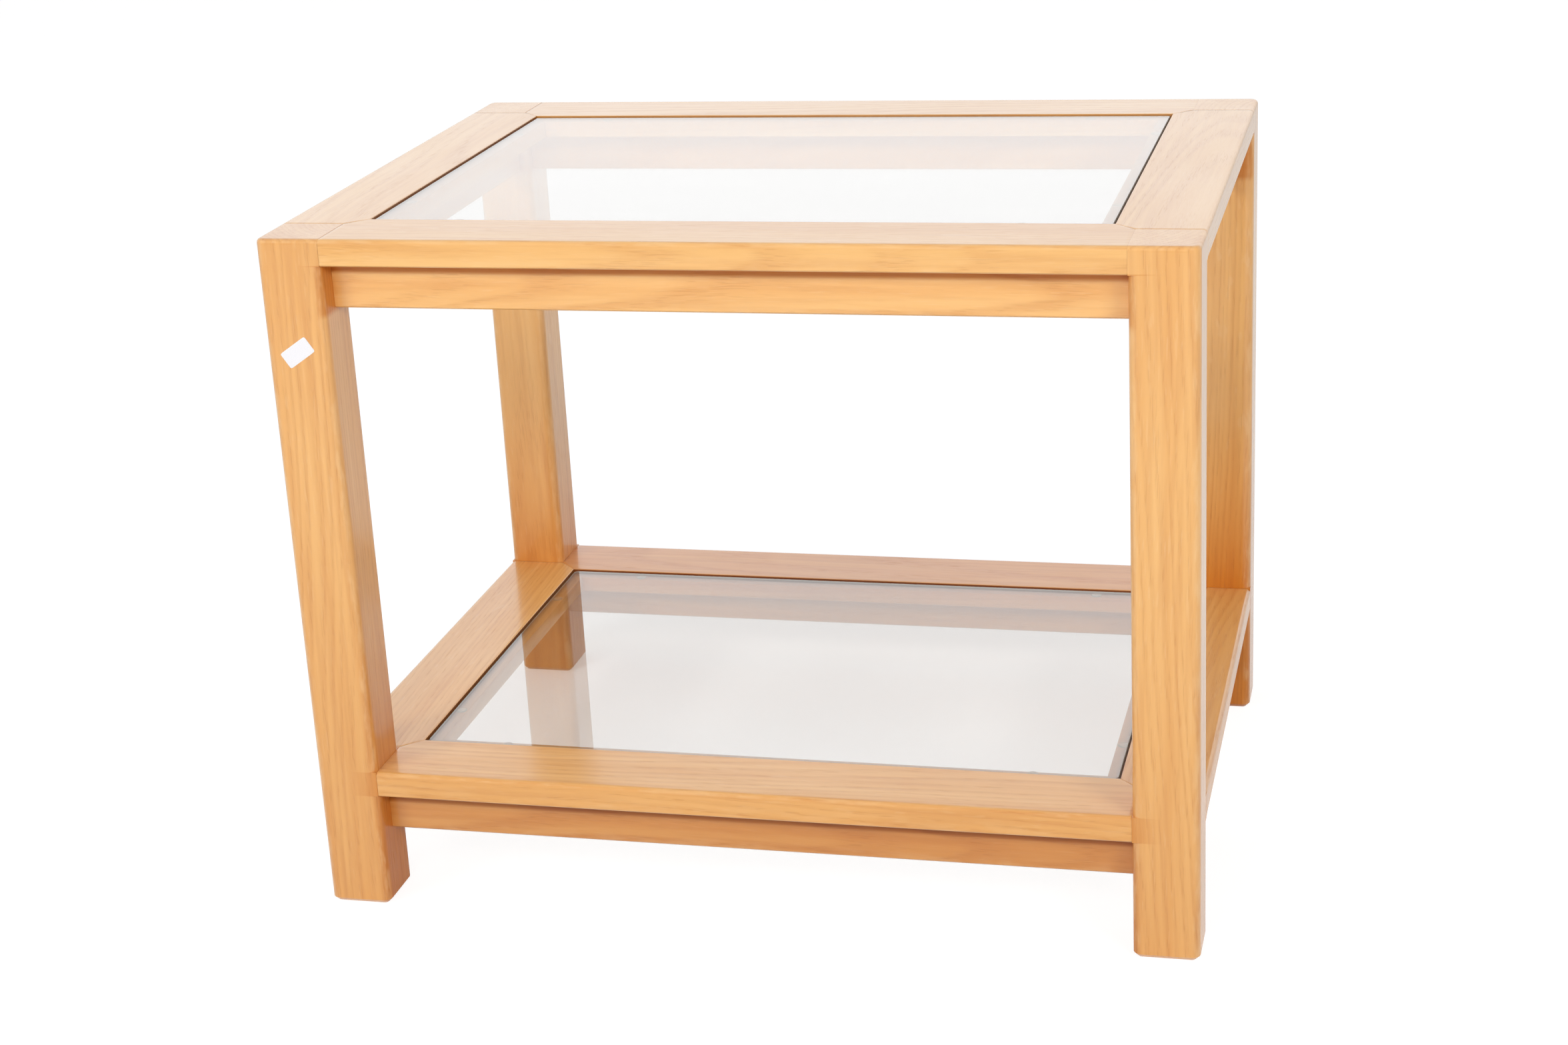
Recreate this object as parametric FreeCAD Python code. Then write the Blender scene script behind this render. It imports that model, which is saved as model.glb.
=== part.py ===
import FreeCAD, Part
import math
import os

# Oak display table with two glazed tiers.  Millimetres, +Z up, front towards -Y.
# The origin is on the floor, under the centre of the table.

# Overall size
table_width = 610.0
table_depth = 460.0
table_height = 480.0
shelf_height = 102.0  # upper face of the lower tier

# Legs
leg_size = 44.0
leg_arris = 6.0  # radius along the legs
foot_chamfer = 3.0

# Boards that frame each pane
board_thickness = 18.0
board_past_leg = 14.0  # from the legs' inner faces to the pane's recess
ledge_width = 10.0  # carries the pane
board_arris = 3.0  # upper outer edge of the boards and the leg tops
eased_edge = 1.0  # small chamfer on lower edges

# Aprons under the boards
apron_thickness = 18.0
apron_height = 32.0
apron_setback = 18.0  # from the outer face of the legs

# Glue room in every wood joint: on each side, and past the end
joint_fit = 0.1
joint_relief = 1.0

# Mitred tenons on the aprons' ends
tenon_thickness = 8.0
tenon_shoulder = 5.0  # above and below each tenon
tenon_mitre_gap = 0.5  # between the ends of two tenons that meet in a leg

# Tongue along each apron's upper edge, in a groove under its board
tongue_thickness = 6.0
tongue_height = 6.0

# Loose tongues between the boards' ends and the legs
spline_thickness = 6.0
spline_width = 16.0
spline_edge = 6.0  # from the outer face to the spline
spline_web = 3.0  # wood between two splines that enter one leg
spline_in_board = 16.0
spline_chamfer = 1.0

# Panes and the clear pads under them
glass_thickness = 5.0
glass_gap = 1.5  # from the pane's edge to the wood
glass_corner = 2.0  # nipped corners
glass_arris = 0.8
pad_thickness = 1.0
pad_margin = 0.5  # from a pad to the edge of the ledge
pad_from_corner = 60.0

# Derived sizes
rebate_depth = glass_thickness + pad_thickness
recess_inset = leg_size + board_past_leg
opening_inset = recess_inset + ledge_width
apron_centre = apron_setback + apron_thickness / 2
spline_in_leg = leg_size - spline_edge - spline_width - spline_web
pad_diameter = ledge_width - glass_gap - pad_margin

Z_AXIS = FreeCAD.Vector(0, 0, 1)
X_AXIS = FreeCAD.Vector(1, 0, 0)
ORIGIN = FreeCAD.Vector(0, 0, 0)

# Each side is drawn as the front one and turned about the table's centre.
# name: (turn in degrees, length along the side, centre to outer face)
SIDES = {
    "front": (0, table_width, table_depth / 2),
    "right": (90, table_depth, table_width / 2),
    "back": (180, table_width, table_depth / 2),
    "left": (270, table_depth, table_width / 2),
}

# Each leg is drawn from its outer corner inwards.  name: (turn, corner x, corner y)
CORNERS = {
    "front_left": (0, -table_width / 2, -table_depth / 2),
    "front_right": (90, table_width / 2, -table_depth / 2),
    "back_right": (180, table_width / 2, table_depth / 2),
    "back_left": (270, -table_width / 2, table_depth / 2),
}

# Upper face of each glazed tier
TIERS = {"top": table_height, "shelf": shelf_height}


def box(x_range, y_range, z_range):
    """Block between three pairs of limits."""
    low = FreeCAD.Vector(x_range[0], y_range[0], z_range[0])
    return Part.makeBox(x_range[1] - x_range[0], y_range[1] - y_range[0], z_range[1] - z_range[0], low)


def prism(outline, bottom, top):
    """Upright solid with the given plan outline, a closed list of (x, y) points."""
    points = [FreeCAD.Vector(x, y, bottom) for x, y in outline]
    face = Part.Face(Part.makePolygon(points + points[:1]))
    return face.extrude(FreeCAD.Vector(0, 0, top - bottom))


def turned(shape, angle, corner_x=0.0, corner_y=0.0):
    """Copy of a shape turned about the vertical through the origin, then moved to a corner."""
    copy = shape.copy()
    copy.rotate(ORIGIN, Z_AXIS, angle)
    copy.translate(FreeCAD.Vector(corner_x, corner_y, 0))
    return copy


def edges_where(shape, test):
    """Edges whose every vertex passes the test."""
    return [edge for edge in shape.Edges if all(test(v.Point) for v in edge.Vertexes)]


def near(value, target):
    return abs(value - target) < 1e-6


def rounded_square(size, radii):
    """Face of a square from the origin, with one radius each for the corners
    (0, 0), (size, 0), (size, size) and (0, size)."""
    corners = [(0, 0), (size, 0), (size, size), (0, size)]
    edges = []
    ends = []
    for index, (x, y) in enumerate(corners):
        before = corners[index - 1]
        after = corners[(index + 1) % len(corners)]
        radius = radii[index]
        to_before = FreeCAD.Vector(before[0] - x, before[1] - y, 0).normalize()
        to_after = FreeCAD.Vector(after[0] - x, after[1] - y, 0).normalize()
        corner = FreeCAD.Vector(x, y, 0)
        start = corner + to_before * radius
        end = corner + to_after * radius
        if radius:
            bulge = (to_before + to_after) * radius * (1 - math.sqrt(0.5))
            edges.append(Part.Arc(start, corner + bulge, end).toShape())
        ends.append((start, end))
    for index, (start, end) in enumerate(ends):
        next_start = ends[(index + 1) % len(ends)][0]
        edges.append(Part.makeLine(end, next_start))
    return Part.Face(Part.Wire(Part.sortEdges(edges)[0]))


def leg_post():
    """Square post.  Its outer arris is rounded all the way up; the other three are
    rounded only where they show, and stay square behind the boards' ends."""
    exposed = rounded_square(leg_size, [leg_arris] * 4)
    banded = rounded_square(leg_size, [leg_arris, 0, 0, 0])
    stages = [
        (exposed, 0.0, shelf_height - board_thickness),
        (banded, shelf_height - board_thickness, shelf_height),
        (exposed, shelf_height, table_height - board_thickness),
        (banded, table_height - board_thickness, table_height),
    ]
    lengths = []
    for profile, bottom, top in stages:
        stage = profile.extrude(FreeCAD.Vector(0, 0, top - bottom))
        stage.translate(FreeCAD.Vector(0, 0, bottom))
        lengths.append(stage)
    post = lengths[0].multiFuse(lengths[1:]).removeSplitter()
    foot = edges_where(post, lambda p: near(p.z, 0))
    post = post.makeChamfer(foot_chamfer, foot)
    outer_top = edges_where(post, lambda p: near(p.z, table_height) and near(min(p.x, p.y), 0))
    return post.makeFillet(board_arris, outer_top)


def mirrored_on_diagonal(shape):
    """Copy with x and y exchanged, for the second side that lands on a leg."""
    return shape.mirror(ORIGIN, FreeCAD.Vector(1, -1, 0))


def mortise(tier_top):
    """Pocket for the tenon of the apron that runs along x, in the leg's own corner frame."""
    apron_top = tier_top - board_thickness
    half = tenon_thickness / 2 + joint_fit
    return box(
        (apron_centre - tenon_thickness / 2 - joint_relief, leg_size),
        (apron_centre - half, apron_centre + half),
        (apron_top - apron_height + tenon_shoulder - joint_fit, apron_top - tenon_shoulder + joint_fit),
    )


def spline_section(tier_top, fit):
    """Limits of a spline across its board: from the outer face inwards, and in height."""
    middle = tier_top - board_thickness / 2
    half = spline_thickness / 2 + fit
    return (spline_edge - fit, spline_edge + spline_width + fit), (middle - half, middle + half)


def make_leg():
    """Leg with its mortises, and the slots for the splines of the boards that meet it."""
    cutters = []
    for tier_top in TIERS.values():
        across, heights = spline_section(tier_top, joint_fit)
        slot = box((leg_size - spline_in_leg - joint_relief, leg_size), across, heights)
        for cutter in (mortise(tier_top), slot):
            cutters += [cutter, mirrored_on_diagonal(cutter)]
    return leg_post().cut(cutters)


def make_board(span, reach, tier_top):
    """Frame board: flush with the legs' outer faces, square ends between the legs, then
    mitred ends from the legs' inner corners, and a recess along its inner edge."""
    bottom = tier_top - board_thickness
    shoulder = span / 2 - leg_size
    inner_end = span / 2 - opening_inset
    outline = [
        (-shoulder, -reach),
        (shoulder, -reach),
        (shoulder, -reach + leg_size),
        (inner_end, -reach + opening_inset),
        (-inner_end, -reach + opening_inset),
        (-shoulder, -reach + leg_size),
    ]
    board = prism(outline, bottom, tier_top)
    upper = edges_where(board, lambda p: near(p.y, -reach) and near(p.z, tier_top))
    board = board.makeFillet(board_arris, upper)
    lower = edges_where(board, lambda p: near(p.y, -reach) and near(p.z, bottom))
    board = board.makeChamfer(eased_edge, lower)

    recess_end = span / 2 - recess_inset
    recess = box((-recess_end, recess_end), (-reach + recess_inset, 0), (tier_top - rebate_depth, tier_top))
    groove_half = tongue_thickness / 2 + joint_fit
    groove = box(
        (-shoulder, shoulder),
        (-reach + apron_centre - groove_half, -reach + apron_centre + groove_half),
        (bottom, bottom + tongue_height + joint_relief),
    )
    across, heights = spline_section(tier_top, joint_fit)
    across = [-reach + offset for offset in across]
    slot = box((shoulder - spline_in_board - joint_relief, shoulder), across, heights)
    return board.cut([recess, groove, slot, slot.mirror(ORIGIN, X_AXIS)])


def tenon(span, reach, bottom, top):
    """Tenon on the right-hand end of an apron.  Its end is mitred, so that it meets the
    next apron's tenon on the leg's diagonal."""
    shoulder = span / 2 - leg_size
    centre_y = -reach + apron_centre
    mitre_x = span / 2 - apron_centre - tenon_mitre_gap * math.sqrt(0.5)
    half = tenon_thickness / 2
    outline = [
        (shoulder, centre_y - half),
        (mitre_x + half, centre_y - half),
        (mitre_x - half, centre_y + half),
        (shoulder, centre_y + half),
    ]
    return prism(outline, bottom + tenon_shoulder, top - tenon_shoulder)


def make_apron(span, reach, tier_top):
    """Apron under a board, set back from it, with a mitred tenon at each end and a tongue
    along its upper edge."""
    top = tier_top - board_thickness
    bottom = top - apron_height
    shoulder = span / 2 - leg_size
    centre_y = -reach + apron_centre
    half = apron_thickness / 2
    body = box((-shoulder, shoulder), (centre_y - half, centre_y + half), (bottom, top))
    lower = edges_where(body, lambda p: near(p.z, bottom))
    lengthwise = [edge for edge in lower if near(edge.Vertexes[0].Y, edge.Vertexes[1].Y)]
    body = body.makeChamfer(eased_edge, lengthwise)
    half = tongue_thickness / 2
    tongue = box((-shoulder, shoulder), (centre_y - half, centre_y + half), (top, top + tongue_height))
    right_tenon = tenon(span, reach, bottom, top)
    left_tenon = right_tenon.mirror(ORIGIN, X_AXIS)
    return body.multiFuse([tongue, right_tenon, left_tenon]).removeSplitter()


def make_splines(tier_top):
    """All the loose tongues of one tier, one in each end of each board."""
    across, heights = spline_section(tier_top, 0)
    splines = []
    for angle, span, reach in SIDES.values():
        shoulder = span / 2 - leg_size
        spline = box(
            (shoulder - spline_in_board, shoulder + spline_in_leg),
            (-reach + across[0], -reach + across[1]),
            heights,
        )
        lengthwise = [edge for edge in spline.Edges if near(edge.Vertexes[0].Y, edge.Vertexes[1].Y)]
        lengthwise = [edge for edge in lengthwise if near(edge.Vertexes[0].Z, edge.Vertexes[1].Z)]
        spline = spline.makeChamfer(spline_chamfer, lengthwise)
        splines += [turned(spline, angle), turned(spline.mirror(ORIGIN, X_AXIS), angle)]
    return Part.makeCompound(splines)


def make_glass(tier_top):
    """Pane that lies loose in its recess, flush with the wood."""
    half_x = table_width / 2 - recess_inset - glass_gap
    half_y = table_depth / 2 - recess_inset - glass_gap
    pane = box((-half_x, half_x), (-half_y, half_y), (tier_top - glass_thickness, tier_top))
    upright = [edge for edge in pane.Edges if not near(edge.Vertexes[0].Z, edge.Vertexes[1].Z)]
    pane = pane.makeChamfer(glass_corner, upright)
    rims = [edge for edge in pane.Edges if near(edge.BoundBox.ZLength, 0)]
    return pane.makeChamfer(glass_arris, rims)


def make_pads(tier_top):
    """Clear pads on the ledge, two along each side of the pane."""
    seat = tier_top - rebate_depth
    inset = recess_inset + glass_gap + pad_diameter / 2
    pads = []
    for angle, span, reach in SIDES.values():
        along = span / 2 - recess_inset - pad_from_corner
        for x in (-along, along):
            pad = Part.makeCylinder(pad_diameter / 2, pad_thickness, FreeCAD.Vector(x, -reach + inset, seat))
            pads.append(turned(pad, angle))
    return Part.makeCompound(pads)


def build():
    """Every node of the table, by name."""
    nodes = {}
    leg = make_leg()
    for corner, (angle, x, y) in CORNERS.items():
        nodes[f"leg_{corner}"] = turned(leg, angle, x, y)
    for tier, tier_top in TIERS.items():
        for side, (angle, span, reach) in SIDES.items():
            nodes[f"{tier}_board_{side}"] = turned(make_board(span, reach, tier_top), angle)
            nodes[f"{tier}_apron_{side}"] = turned(make_apron(span, reach, tier_top), angle)
        nodes[f"{tier}_board_splines"] = make_splines(tier_top)
        nodes[f"{tier}_glass"] = make_glass(tier_top)
        nodes[f"{tier}_glass_pads"] = make_pads(tier_top)
    return nodes


os.makedirs("parts", exist_ok=True)
for name, shape in build().items():
    shape.exportStep(os.path.join("parts", f"{name}.step"))
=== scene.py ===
import math

import bpy
import numpy as np
from bpy.props import FloatProperty, FloatVectorProperty, PointerProperty
from mathutils import Matrix, Vector


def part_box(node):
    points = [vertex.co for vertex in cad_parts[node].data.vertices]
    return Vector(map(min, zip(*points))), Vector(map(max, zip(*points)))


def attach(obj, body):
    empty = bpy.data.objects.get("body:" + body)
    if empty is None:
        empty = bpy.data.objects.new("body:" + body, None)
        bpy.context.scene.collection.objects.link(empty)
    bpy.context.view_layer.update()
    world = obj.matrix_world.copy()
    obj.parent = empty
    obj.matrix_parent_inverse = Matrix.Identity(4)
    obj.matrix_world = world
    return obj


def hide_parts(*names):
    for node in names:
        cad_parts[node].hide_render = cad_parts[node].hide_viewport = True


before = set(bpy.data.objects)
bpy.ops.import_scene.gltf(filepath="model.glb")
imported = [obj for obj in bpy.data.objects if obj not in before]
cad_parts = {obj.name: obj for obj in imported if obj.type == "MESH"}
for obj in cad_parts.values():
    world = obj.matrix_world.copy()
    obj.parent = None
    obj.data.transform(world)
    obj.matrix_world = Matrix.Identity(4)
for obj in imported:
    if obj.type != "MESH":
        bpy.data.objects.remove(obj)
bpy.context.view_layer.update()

bl_info = {
    "name": "Oak Display Table",
    "version": (1, 0, 0),
    "blender": (4, 5, 0),
    "location": "View3D > Sidebar > Display Table",
    "description": "Dresses a glazed two-tier oak display table in its own frame",
    "category": "Object",
}

FRAME_BODY = "table_frame"
LEG_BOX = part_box("leg_front_left")
LEG_SIZE = LEG_BOX[1].x - LEG_BOX[0].x
HALF_WIDTH = -LEG_BOX[0].x
HALF_DEPTH = -LEG_BOX[0].y
TABLE_HEIGHT = LEG_BOX[1].z

# Each side of the table, and the quarter turns that bring the front to it.
SIDE_TURNS = {"front": 0, "right": 1, "back": 2, "left": 3}
CORNER_TURNS = {"front_left": 0, "front_right": 1, "back_right": 2, "back_left": 3}

# How each stick lies in its log: the heart's place across and below the middle of the
# stick and where along the log it starts, in metres, then how deep its tone is, from 0
# to 1: near its start, and near its far end (for a leg, at the foot and from half way up).
# The tone is partly the stick's own and partly painted shade: each leg darkens towards its
# foot, and several pieces of the shelf and at the back are set deeper because they lie in shade.
LEG_TIMBER = {
    "front_left": (0.050, 0.056, 0.35, 0.38, 0.15),
    "front_right": (-0.060, 0.048, 1.90, 0.31, 0.03),
    "back_left": (0.006, 0.072, 3.15, 0.28, 0.00),
    "back_right": (0.088, -0.016, 4.70, 0.66, 0.00),
}
BOARD_TIMBER = {
    "top_front": (-0.082, 0.002, 6.20, 0.00, 0.08),
    "top_back": (0.040, -0.090, 7.60, 0.03, 0.03),
    "top_left": (0.020, -0.110, 8.90, 0.03, 0.00),
    "top_right": (-0.030, -0.085, 10.30, 0.06, 0.03),
    "shelf_front": (0.045, -0.075, 11.70, 0.01, 0.06),
    "shelf_back": (-0.020, -0.095, 13.10, 0.66, 0.66),
    "shelf_left": (0.095, -0.030, 14.40, 0.12, 0.09),
    "shelf_right": (-0.060, -0.070, 15.80, 0.28, 0.22),
}
APRON_TIMBER = {
    "top_front": (-0.058, 0.004, 17.20, 0.02, 0.00),
    "top_back": (0.065, -0.010, 18.60, 0.31, 0.31),
    "top_left": (0.050, 0.040, 19.90, 0.15, 0.15),
    "top_right": (-0.050, 0.030, 21.30, 0.09, 0.09),
    "shelf_front": (-0.052, -0.003, 22.70, 0.42, 0.50),
    "shelf_back": (0.060, 0.020, 24.10, 0.31, 0.31),
    "shelf_left": (0.055, -0.030, 25.40, 0.19, 0.19),
    "shelf_right": (-0.070, 0.010, 26.80, 0.15, 0.15),
}

# A flat beside a rounded or chamfered edge has one more row of points this far from it,
# which keeps the flat's shading even.
EDGE_ROW = 0.0012
# The angles of the points round a quarter circle.
QUARTER = np.linspace(0, math.pi / 2, 7)
# How far hands rub a rounded arris, at each of those points, and a chamfer, from 0 to 1.
ROUND_WEAR = np.sin(2 * QUARTER) * 0.6 + 0.4
CHAMFER_WEAR = 0.7
SQUARE_ARRIS = 0.0001
LEG_TONE_ROWS = (0.04, 0.16, 0.25, 0.34)

# Painted shade: how much deeper the tone is made, from 0 to 1, where the wood lies in shade.
SHADE_LOW_ON_LEG, SHADE_BESIDE_APRON, SHADE_HIGH_ON_LEG = 0.72, 0.75, 0.13
SHADE_UNDER_PANE, SHADE_SHELF_EDGE, SHADE_SHELF_APRON = 0.4, 0.24, 0.16
# Painted shade on the wall of a recess, where 1 is as dark as a closed joint. The back
# wall of the top gets less, as it is lit.
RECESS_SHADE, LIT_RECESS_SHADE = 1.85, 1.15
# Painted shadow of a board on its apron: full down to the first of these depths below
# the board, gone by the second.
GAP_SHADOW = {"top": (0.0064, 0.0092), "shelf": (0.0075, 0.0125)}
# A board or an apron passes from its first tone to its second within this of its middle.
TONE_CHANGE = 0.2


# ---------------------------------------------------------------- settings


def metres(name, description, default, low, high):
    """Setting of a length."""
    return FloatProperty(
        name=name, description=description, default=default, min=low, max=high, unit="LENGTH"
    )


def degrees(name, description, default):
    """Setting of an angle, with its default in degrees."""
    return FloatProperty(name=name, description=description, default=math.radians(default), subtype="ANGLE")


def watts(name, description, default):
    """Setting of a lamp's power."""
    return FloatProperty(name=name, description=description, default=default, min=0, max=500, subtype="POWER")


def hue(name, description, default):
    """Setting of a colour."""
    return FloatVectorProperty(
        name=name, description=description, default=default, min=0, max=1, subtype="COLOR"
    )


class JoinerySizes(bpy.types.PropertyGroup):
    """Sizes of the wood's edges and of the pane's recess."""

    leg_arris: metres("Leg arris", "Radius along the legs", 0.006, 0.001, 0.012)
    foot_chamfer: metres("Foot chamfer", "Chamfer round the bottom of each leg", 0.003, 0.0005, 0.006)
    board_arris: metres(
        "Board arris", "Radius on the boards' upper outer edge and the leg tops", 0.003, 0.0005, 0.006
    )
    eased_edge: metres("Eased edge", "Chamfer on the lower edges", 0.001, 0.0002, 0.003)
    fine_edge: metres("Fine edge", "Sanded edge beside the pane and at the joints", 0.0004, 0.0001, 0.001)
    past_leg: metres("Board past leg", "From the legs' inner faces to the recess", 0.014, 0.005, 0.04)
    ledge: metres("Ledge", "Width of the ledge that carries the pane", 0.010, 0.005, 0.02)
    recess: metres("Recess", "Depth of the recess for the pane", 0.006, 0.003, 0.012)


class OakFinish(bpy.types.PropertyGroup):
    """Colours of the lacquered oak and the scale of its figure."""

    pale: hue("Pale wood", "Lightest bands", (0.915, 0.525, 0.180))
    honey: hue("Honey wood", "Main colour", (0.855, 0.448, 0.132))
    ring: hue("Growth ring", "Porous early wood of each ring", (0.690, 0.300, 0.070))
    pore: hue("Pores", "Open pores under the lacquer", (0.520, 0.205, 0.045))
    ray: hue("Ray fleck", "Rays where a face runs towards the heart", (0.930, 0.610, 0.300))
    ring_width: metres("Ring width", "Mean width of a growth ring", 0.0038, 0.001, 0.01)
    lacquer_roughness: FloatProperty(
        name="Lacquer roughness", description="Roughness of the satin lacquer",
        default=0.16, min=0, max=1, subtype="FACTOR",
    )


class PaneFinish(bpy.types.PropertyGroup):
    """Sizes and colours of the two panes."""

    arris: metres("Ground arris", "Chamfer round both faces", 0.0005, 0.0002, 0.002)
    set_down: metres("Set down", "How far the upper face lies below the wood around it", 0.001, 0, 0.002)
    nipped_corner: metres("Nipped corner", "Length taken off each corner", 0.002, 0.0005, 0.006)
    tint: hue("Tint", "Colour seen straight through the faces", (0.95, 0.955, 0.95))
    slant_tint: hue("Slant tint", "Colour seen along the faces", (0.44, 0.435, 0.435))
    edge_tint: hue("Edge tint", "Colour of the ground edges", (0.30, 0.27, 0.22))


class LabelSizes(bpy.types.PropertyGroup):
    """Blank paper label on a leg."""

    length: metres("Length", "Long side", 0.022, 0.005, 0.04)
    height: metres("Height", "Short side", 0.012, 0.005, 0.04)
    tilt: degrees("Tilt", "How far the long side rises to the right", 34)
    centre_height: metres("Centre height", "Height of its middle above the floor", 0.404, 0.02, 0.46)


class StudioSettings(bpy.types.PropertyGroup):
    """Camera and soft light."""

    camera_place: FloatVectorProperty(
        name="Camera place", description="Where the camera stands",
        default=(0.4496, -1.7927, 0.8711), subtype="XYZ", unit="LENGTH",
    )
    camera_turn: degrees("Turn", "Turn to the left from facing the back", 14.683)
    camera_tilt: degrees("Tilt", "Tilt above the level", -19.567)
    camera_roll: degrees("Roll", "Roll about the line of sight", 3.077)
    lens: FloatProperty(
        name="Lens", description="Focal length for a 36 mm wide frame",
        default=61.46, min=20, max=200, subtype="DISTANCE_CAMERA",
    )
    sky_light: FloatProperty(
        name="Room light", description="Even light from the walls of the room", default=0.86, min=0, max=2
    )
    ceiling_light: FloatProperty(
        name="Ceiling light", description="Even light from straight above", default=0.36, min=0, max=2
    )
    key_light: watts("Front light", "Power of the soft box in front on the left", 19.7)
    top_light: watts("High light", "Power of the soft box high in front", 11.3)
    side_light: watts("Side light", "Power of the soft box on the right", 19.4)
    back_light: watts("Back light", "Power of the wide soft box behind", 3.8)


class DisplayTableSettings(bpy.types.PropertyGroup):
    """Everything the panel lets a user change."""

    joinery: PointerProperty(type=JoinerySizes, name="Joinery", description="Edges and recess")
    oak: PointerProperty(type=OakFinish, name="Oak", description="Colours and figure of the wood")
    pane: PointerProperty(type=PaneFinish, name="Panes", description="The two panes")
    label: PointerProperty(type=LabelSizes, name="Label", description="Blank label")
    studio: PointerProperty(type=StudioSettings, name="Studio", description="Camera and light")


# ---------------------------------------------------------------- meshes


def quarter_turned(points, turns):
    """Points turned about the upright axis: (x, y) becomes (x cos - y sin, x sin + y cos)
    for a whole number of quarter turns."""
    cosine, sine = [(1, 0), (0, 1), (-1, 0), (0, -1)][turns % 4]
    turned = points.copy()
    turned[..., 0] = cosine * points[..., 0] - sine * points[..., 1]
    turned[..., 1] = sine * points[..., 0] + cosine * points[..., 1]
    return turned


def tube_faces(rows, columns):
    """Quads of a tube of closed rings: corner (row, column) is number row * columns +
    column, and the last column joins the first."""
    row, column = np.meshgrid(np.arange(rows - 1), np.arange(columns), indexing="ij")
    following = (column + 1) % columns
    here, above = row * columns, (row + 1) * columns
    quads = np.stack([here + column, here + following, above + following, above + column], axis=-1)
    return quads.reshape(-1, 4).tolist()


def cap_faces(rows, columns):
    """One polygon over the first ring, turned to face back, and one over the last."""
    first = list(range(columns))[::-1]
    last = list(range((rows - 1) * columns, rows * columns))
    return [first, last]


def strip_cap_faces(rows, columns):
    """Ends of a bar whose ring is an upper chain followed by a lower chain of equal
    length: quads join point i of the upper chain to point i of the lower one."""
    half = columns // 2
    upper = np.arange(half - 1)
    lower = columns - 1 - upper
    start = np.stack([upper + 1, upper, lower, lower - 1], axis=-1)
    end = start[:, ::-1] + (rows - 1) * columns
    return start.tolist() + end.tolist()


def put_piece(name, points, faces, material, nodes, slot, body, smooth_angle=30, trim=None, **attributes):
    """Mesh object with its place in its mesh and its number fields as attributes. It rides
    its body, and stands for the nodes that are named. The slot is not used.

    trim is a second material and the first faces that it covers, as a slice."""
    mesh = bpy.data.meshes.new(name)
    mesh.from_pydata(points.reshape(-1, 3).tolist(), [], faces)
    for key, values in attributes.items():
        values = np.asarray(values, dtype=np.float32)
        kind, field = ("FLOAT_VECTOR", "vector") if values.shape[-1:] == (3,) else ("FLOAT", "value")
        mesh.attributes.new(key, kind, "POINT").data.foreach_set(field, values.reshape(-1))
    mesh.materials.append(material)
    if trim:
        mesh.materials.append(trim[0])
        chosen = np.zeros(len(faces), dtype=np.int32)
        chosen[trim[1]] = 1
        mesh.polygons.foreach_set("material_index", chosen)
    mesh.validate()
    mesh.shade_smooth()
    mesh.set_sharp_from_angle(angle=math.radians(smooth_angle))
    mesh.update()
    piece = bpy.data.objects.new(name, mesh)
    bpy.context.scene.collection.objects.link(piece)
    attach(piece, body)
    if nodes:
        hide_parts(*nodes)
    return piece


def log_place(local, centre, timber):
    """Coordinates in the log for points of a stick, given as (along, across, depth): along
    the log, then across and up from its heart."""
    heart_across, heart_depth, start = timber[:3]
    return local - np.asarray(centre) - np.array([-start, heart_across, heart_depth])


def tone_with_painted_shade(along, timber, low, high):
    """Depth of tone: the stick's first value up to low, its second from high on, and a
    smooth step t * t * (3 - 2 * t) between them."""
    t = np.clip((along - low) / (high - low), 0, 1)
    return timber[3] + (timber[4] - timber[3]) * t * t * (3 - 2 * t)


def rounded_ring(half, radii, insets):
    """Closed ring of a square of half width half, one row for each level.

    radii is (levels, 4), for the corners (-, -), (+, -), (+, +) and (-, +), and insets is
    (levels, 4), how far the sides at -x, -y, +x and +y are drawn in. Corner k is the arc
    centre + radius * (cos t, sin t), t over its quarter turn, and each side has a point
    just past each arc and one in the middle. Also gives how near each point is to an
    arris, from 0 to 1."""
    levels = radii.shape[0]
    low_x, low_y = -half + insets[:, 0], -half + insets[:, 1]
    high_x, high_y = half - insets[:, 2], half - insets[:, 3]
    corner_x = np.stack([low_x, high_x, high_x, low_x], axis=1)
    corner_y = np.stack([low_y, low_y, high_y, high_y], axis=1)
    inward_x, inward_y = np.array([1, -1, -1, 1]), np.array([1, 1, -1, -1])
    angle = QUARTER[None, None, :] + math.pi + np.arange(4)[None, :, None] * math.pi / 2
    arc_x = (corner_x + inward_x * radii)[..., None] + radii[..., None] * np.cos(angle)
    arc_y = (corner_y + inward_y * radii)[..., None] + radii[..., None] * np.sin(angle)
    arcs = np.stack([arc_x, arc_y], axis=-1)
    ends, starts = arcs[:, :, -1], np.roll(arcs[:, :, 0], -1, axis=1)
    run = starts - ends
    length = np.linalg.norm(run, axis=-1, keepdims=True)
    step = run / length * np.minimum(EDGE_ROW, length / 4)
    sides = np.stack([ends + step, (ends + starts) / 2, starts - step], axis=2)
    ring = np.concatenate([arcs, sides], axis=2).reshape(levels, -1, 2)
    nearness = np.concatenate([ROUND_WEAR, [0.0, 0.0, 0.0]])
    return ring, np.tile(nearness, (levels, 4))


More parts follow.
